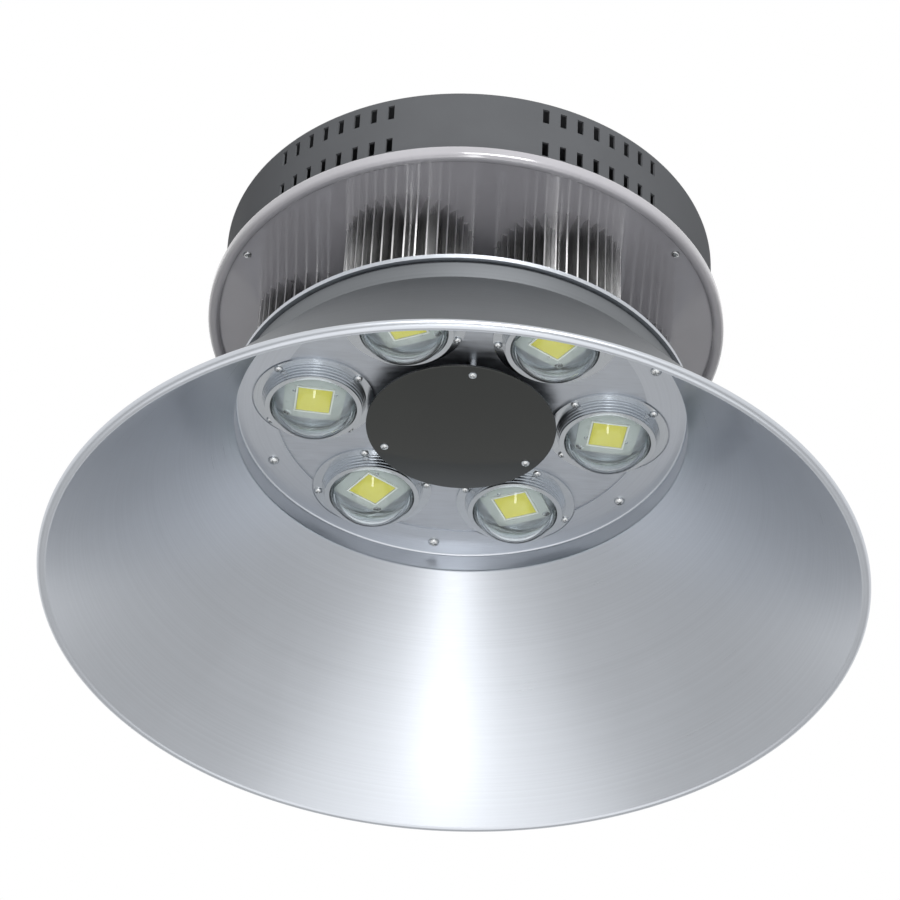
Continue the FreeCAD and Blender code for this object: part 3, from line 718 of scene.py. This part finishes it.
pillar = [at(0, disc_top), at(PILLAR_RADIUS, disc_top), at(PILLAR_RADIUS, LED_FACE)]
pillar = bent(pillar + [at(PILLAR_BORE, LED_FACE)], PILLAR_EDGES, 3)
pillar_top = high("disc_standoffs")[2] / MM
pillar += [at(PILLAR_BORE, pillar_top), at(0, pillar_top)]
pillar_places = [swung(a, DISC_SCREW_CIRCLE) for a in DISC_SCREWS]
pillars = copies(spun(pillar, 32, False), pillar_places)
finish(pillars, "disc_pillars", ZINC_PLATE, "disc_standoffs")
print("disc radius", round(disc_radius, 1), "mm, pillars", len(DISC_SCREWS))

# %% [markdown]
# Each pan head screw is a low dome with a cross recess for the driver. The head is spun, and a
# cross-shaped prism is cut out of it. The cross is one outline and not two bars, because a
# boolean needs a cutter that doesn't cross itself.

# %% One pan head screw
CROWN = [(0, 1), (0.35, 0.97), (0.7, 0.82), (0.92, 0.5), (1, 0.2)]
CROSS_REACH = 0.58
CROSS_HALF = 0.13
CROSS_FLOOR = 0.45

def cross_prism(reach, half, bottom, top):
    """A cross-shaped prism, which cuts the recess."""
    bm = bmesh.new()
    corner = [Vector((reach, half)), Vector((half, half)), Vector((half, reach))]
    outline = [Matrix.Rotation(q * math.pi / 2, 2) @ c for q in range(4) for c in corner]
    face = bm.faces.new([bm.verts.new((p.x * MM, p.y * MM, bottom * MM)) for p in outline])
    made = bmesh.ops.extrude_face_region(bm, geom=[face])["geom"]
    rise = [v for v in made if isinstance(v, bmesh.types.BMVert)]
    bmesh.ops.translate(bm, verts=rise, vec=(0, 0, (top - bottom) * MM))
    bmesh.ops.recalc_face_normals(bm, faces=bm.faces)
    return bm


def pan_head(shank, head, rise, length):
    """Head up, seated at zero height. The crown is in shares of the head's radius and rise."""
    section = [at(head * across, rise * up) for across, up in CROWN]
    section += [at(head, 0), at(shank, 0), at(shank, -length), at(0, -length)]
    cross = cross_prism(head * CROSS_REACH, head * CROSS_HALF, rise * CROSS_FLOOR, rise * 2)
    return carved(spun(section, 28, False), cross)


M3 = dict(shank=1.5, head=2.7, rise=1.8)
M4 = dict(shank=2.0, head=3.6, rise=2.4)
sample = pan_head(**M4, length=4)
print("faces on one screw:", len(sample.faces))
sample.free()

# %% [markdown]
# One finished screw is repeated at every place of its kind. The lamps' and the plate's screws look
# down, so they are flipped over, and the drum's side screws are laid flat.

# %% Screws in their places
SCREW_LENGTH = {
    "reflector_screws": 4.2, "lens_ring_screws": 4.6, "disc_screws": 6.4,
    "housing_plate_screws": 3.0, "housing_side_screws": 7.5,
}
RING_SCREWS = 35.2
BASE_SHEET = 1.5
HOUSING_RADIUS = 157.0
PLATE_SCREWS = (-155.5, -32.8, 85.9)
PLATE_SCREW_INSET = 4.55
SIDE_SCREWS = (-14.0, 166.0)
SIDE_SCREW_RISE = 15.5

def screws(name, node, size, places):
    bm = copies(pan_head(**size, length=SCREW_LENGTH[node]), places)
    finish(bm, name, ZINC_PLATE, node)
    return len(places)


flange_circle = (FLANGE_INNER + COLLAR_RADIUS) / 2
flange_places = [swung(a + 30, flange_circle, FLANGE_FACE) @ FLIP for a in LAMP_ANGLES]
count = screws("flange_screws", "reflector_screws", M4, flange_places)
ring_places = [
    swung(a, LAMP_CIRCLE, LED_FACE - RING_FLANGE) @ swung(45 + 90 * q, RING_SCREWS) @ FLIP
    for a in LAMP_ANGLES for q in range(4)
]
count += screws("ring_screws", "lens_ring_screws", M3, ring_places)
disc_places = [swung(a, DISC_SCREW_CIRCLE, disc_low) @ FLIP for a in DISC_SCREWS]
count += screws("disc_pan_screws", "disc_screws", M3, disc_places)
PLATE_FACE = HOUSING_FOOT - BASE_SHEET
plate_circle = HOUSING_RADIUS - PLATE_SCREW_INSET
plate_places = [swung(a, plate_circle, PLATE_FACE) @ FLIP for a in PLATE_SCREWS]
count += screws("plate_screws", "housing_plate_screws", M3, plate_places)
flat = Matrix.Rotation(math.pi / 2, 4, "Y")
side_rise = PLATE_FACE + SIDE_SCREW_RISE
side_places = [swung(a, HOUSING_RADIUS, side_rise) @ flat for a in SIDE_SCREWS]
count += screws("side_screws", "housing_side_screws", M4, side_places)
print("screws placed:", count)

# %% [markdown]
# The housing's base plate is a pan: a flat disc whose edge is pressed down, round and up to a
# proud lip that the drum stands inside. Its section is again a bent sheet.

# %% Base plate
WIRE_HOLE = 12.0
LIP_RADIUS = 164.7
LIP_ROUND = 3.5
LIP_RISE = 5.7
LIP_GAP = 0.9

lip_top = PLATE_FACE + LIP_RISE
lip_inner = LIP_RADIUS - 2 * LIP_ROUND
pan = [at(WIRE_HOLE, PLATE_FACE), at(lip_inner, PLATE_FACE), at(lip_inner, BASE_BOTTOM)]
pan += [at(LIP_RADIUS, BASE_BOTTOM), at(LIP_RADIUS, lip_top)]
pan += [at(HOUSING_RADIUS + LIP_GAP, lip_top)]
bends = [PLATE_FACE - BASE_BOTTOM - LIP_ROUND] + [LIP_ROUND] * 3
base_plate = spun(sheet_section(pan, bends, BASE_SHEET), 240)
finish(base_plate, "base_plate_pan", BASE_PLATE_COAT, "housing_plate")
print("lip", LIP_RADIUS, "mm, recess", round(PLATE_FACE - BASE_BOTTOM, 2), "mm")

# %% [markdown]
# The drum is pressed from sheet and then punched with two rows of vents. Its outer skin is spun in
# narrow steps, with a point at each height where a row of vents starts or ends. That gives a grid
# whose columns and rows fall on the vents' sides.

# %% Drum's outer skin
VENTED_FACES = (-91.7, 88.3)
STEP_DEGREES = 0.3
SLOT_HEIGHT = 11.5
ROWS = (18.0, 46.0)
DRUM_BEND = 4.0
FOOT_BEND = 3.0
FOOT_INNER = 147.0
STEM_HOLE = 6.0

levels = [PLATE_FACE + row + side * SLOT_HEIGHT / 2 for row in ROWS for side in (-1, 1)]
wall_foot = at(HOUSING_RADIUS, HOUSING_FOOT + DRUM_BEND)
shoulder = [at(STEM_HOLE, HOUSING_TOP), at(HOUSING_RADIUS, HOUSING_TOP), wall_foot]
skin = bent(shoulder, [DRUM_BEND])[:-1] + [at(HOUSING_RADIUS, z) for z in levels[::-1]]
foot = [wall_foot, at(HOUSING_RADIUS, HOUSING_FOOT), at(FOOT_INNER, HOUSING_FOOT)]
skin += bent(foot, [FOOT_BEND])
drum = bmesh.new()
first = [drum.verts.new((p.x * MM, 0, p.y * MM)) for p in skin]
lines = [drum.edges.new(pair) for pair in zip(first, first[1:])]
turn = math.radians(VENTED_FACES[0] + STEP_DEGREES / 2)
bmesh.ops.rotate(drum, verts=first, matrix=Matrix.Rotation(turn, 3, "Z"))
bmesh.ops.spin(
    drum, geom=first + lines, cent=(0, 0, 0), axis=(0, 0, 1), angle=math.tau,
    steps=round(360 / STEP_DEGREES), use_merge=True,
)
print("faces on the drum's skin:", len(drum.faces))

# %% [markdown]
# A vent is then just faces taken out of the grid. The normals are turned outwards before solidify
# gives the sheet its thickness, in the vents too, because it grows the wall on their far side.

# %% Vents and thickness
SLOTS = 8
SLOT_STEPS = 5
SLOT_PITCH = 4.2
GROUP_OFFSET = 32.4

slot_angles = [
    middle + side + (k - (SLOTS - 1) / 2) * SLOT_PITCH
    for middle in VENTED_FACES for side in (-GROUP_OFFSET, GROUP_OFFSET) for k in range(SLOTS)
]

def in_vent(face):
    middle = face.calc_center_median()
    if not any(a < middle.z / MM < b for a, b in (levels[:2], levels[2:])):
        return False
    angle = math.degrees(math.atan2(middle.y, middle.x))
    half = SLOT_STEPS * STEP_DEGREES / 2
    return any(abs((angle - a + 180) % 360 - 180) < half for a in slot_angles)


vents = [face for face in drum.faces if in_vent(face)]
bmesh.ops.delete(drum, geom=vents, context="FACES")
bmesh.ops.recalc_face_normals(drum, faces=drum.faces)
if sum(f.normal.z > 0.9 for f in drum.faces) < sum(f.normal.z < -0.9 for f in drum.faces):
    bmesh.ops.reverse_faces(drum, faces=drum.faces)
bmesh.ops.solidify(drum, geom=drum.faces, thickness=BASE_SHEET * MM)
finish(drum, "vented_drum", GREY_POWDER_COAT, "driver_housing")
print("vent faces taken out:", len(vents))

# %% [markdown]
# The light hangs from a forged eye: a thick ring with rounded edges and a straight bore, on a cone
# that seats on the drum. The ring is a rounded square section spun round its own axis, which lies
# along Y. The cone and the stem are spun into the same mesh.

# %% Hanging eye
EYE_BORE = 14.0
EYE_RADIUS = 22.0
EYE_HALF = 5.0
EYE_ROUND = 2.9
EYE_RISE = 23.0
EYE_SEAT = 12.0
STEM_RADIUS = 6.0
FORGED_CONE = [(0, 7), (5, 5.5), (7.5, 2.5), (EYE_SEAT, 1.2), (EYE_SEAT, 0), (STEM_RADIUS, 0)]

eye_low = low("eye_bolt")[2] / MM
eye_middle = HOUSING_TOP + EYE_RISE
eye_section = [at(EYE_BORE, 0), at(EYE_BORE, -EYE_HALF), at(EYE_RADIUS, -EYE_HALF)]
eye_section += [at(EYE_RADIUS, EYE_HALF), at(EYE_BORE, EYE_HALF), at(EYE_BORE, 0)]
eye = spun(bent(eye_section, [EYE_ROUND] * 4, 6)[:-1], 96)
bmesh.ops.rotate(eye, verts=eye.verts, matrix=Matrix.Rotation(math.pi / 2, 3, "X"))
bmesh.ops.translate(eye, verts=eye.verts, vec=(0, 0, eye_middle * MM))
stem = [at(radius, HOUSING_TOP + up) for radius, up in FORGED_CONE]
spin(eye, stem + [at(STEM_RADIUS, eye_low), at(0, eye_low)], 64, False)
finish(eye, "forged_eye", ZINC_PLATE, "eye_bolt")
print("eye centre at", eye_middle, "mm")

# %% [markdown]
# The remaining CAD pieces have the right form already, so they only take their material.

# %% Materials for the CAD nodes that stay
kept = {
    "led_plate": ROLLED_ALUMINIUM, "cob_emitters": PHOSPHOR, "cob_screws": ZINC_PLATE,
    "housing_side_nuts": ZINC_PLATE, "heatsink_screws": ZINC_PLATE, "driver_screws": ZINC_PLATE,
    "hanger_plate": ZINC_PLATE, "eye_nut": ZINC_PLATE, "terminal_block": CREAM_PLASTIC,
    "gland_body": BLACK_NYLON, "gland_nut": BLACK_NYLON, "gland_locknut": BLACK_NYLON,
    "gland_seal": BLACK_RUBBER,
}
kept.update({f"heatsink_{k}": EXTRUDED_ALUMINIUM for k in LAMPS})
kept.update({f"cob_board_{k}": BOARD_WHITE for k in LAMPS})
kept.update({f"driver_{k}": DRIVER_CASE for k in (1, 2, 3)})
for node, material in kept.items():
    nodes[node].data.materials.clear()
    nodes[node].data.materials.append(material)
print("CAD nodes with a new material:", len(kept))

# %% [markdown]
# The light hangs in a studio, over a pale floor well below it. To the camera and to metal the
# floor is mostly a glow, so that it stays near white and still holds the light's shadow.

# %% Floor
FLOOR_DROP = 1900.0
FLOOR_HALF = 8.0
GLOW_SHARE = 0.6

floor_bm = bmesh.new()
bmesh.ops.create_grid(floor_bm, x_segments=1, y_segments=1, size=FLOOR_HALF)
bmesh.ops.translate(floor_bm, verts=floor_bm.verts, vec=(0, 0, -FLOOR_DROP * MM))
floor = bpy.data.objects.new("floor", as_mesh(floor_bm, "floor"))
bpy.context.scene.collection.objects.link(floor)
floor_paint, tree, _ = start_material("studio_floor")
rays = add(tree, "ShaderNodeLightPath")
seen = add(tree, "ShaderNodeMath", {
    0: rays.outputs["Is Camera Ray"], 1: rays.outputs["Is Glossy Ray"],
}, operation="MAXIMUM")
part = add(tree, "ShaderNodeMath", {0: seen.outputs[0], 1: GLOW_SHARE}, operation="MULTIPLY")
matt = add(tree, "ShaderNodeBsdfPrincipled", {"Base Color": grey(0.8), "Roughness": 0.6})
glow = add(tree, "ShaderNodeEmission", {"Color": grey(1.0), "Strength": 0.9})
mixed = add(tree, "ShaderNodeMixShader", {
    0: part.outputs[0], 1: matt.outputs[0], 2: glow.outputs[0],
})
add(tree, "ShaderNodeOutputMaterial", {"Surface": mixed.outputs[0]})
floor.data.materials.append(floor_paint)
print("floor", FLOOR_DROP, "mm below the rim")

# %% [markdown]
# Round the light is a white surround. Camera, metal and glass see it at full strength, and to
# everything else it is only a dim fill, so that the lamps shape the forms.

# %% Surround
FILL = 0.15

world = bpy.data.worlds.new("studio")
world.use_nodes = True
bpy.context.scene.world = world
tree = world.node_tree
tree.nodes.clear()
rays = add(tree, "ShaderNodeLightPath")
direct = rays.outputs["Is Camera Ray"]
for ray in ("Is Transmission Ray", "Is Glossy Ray"):
    either = add(tree, "ShaderNodeMath", {0: direct, 1: rays.outputs[ray]}, operation="MAXIMUM")
    direct = either.outputs[0]
strength = add(tree, "ShaderNodeMapRange", {"Value": direct, "To Min": FILL, "To Max": 1.0})
surround = add(tree, "ShaderNodeBackground", {
    "Color": grey(1.0), "Strength": strength.outputs[0],
})
add(tree, "ShaderNodeOutputWorld", {"Surface": surround.outputs[0]})
print("surround's nodes:", len(tree.nodes))

# %% [markdown]
# Three soft lamps. The tall narrow one low in front gives the bright band inside the cone, because
# the cone's far wall faces it. The key lamp lights the drum from in front and above. The wide one
# stands for light thrown back up by the floor, which is all that the base plate gets.

# %% Lamps
def lamp(name, spot, target, width, height, watts):
    """A soft rectangular lamp at spot, aimed at target, both in metres."""
    data = bpy.data.lights.new(name, "AREA")
    data.shape, data.size, data.size_y, data.energy = "RECTANGLE", width, height, watts
    thing = bpy.data.objects.new(name, data)
    bpy.context.scene.collection.objects.link(thing)
    aim = Vector(target) - Vector(spot)
    turned = aim.to_track_quat("-Z", "Y").to_matrix().to_4x4()
    thing.matrix_world = Matrix.Translation(spot) @ turned
    return thing


lamp("band_lamp", (0.0, -1.95, -1.35), (0, 0, 0.1), 0.24, 1.6, 6.2)
lamp("key_lamp", (0.4, -2.4, 0.9), (0, 0, 0.2), 1.1, 1.1, 42)
bounce = lamp("floor_bounce", (0.0, -0.6, -1.85), (0, -0.6, 0), 3.0, 3.0, 20)
bounce.visible_camera = False
bpy.context.scene.view_settings.view_transform = "Standard"
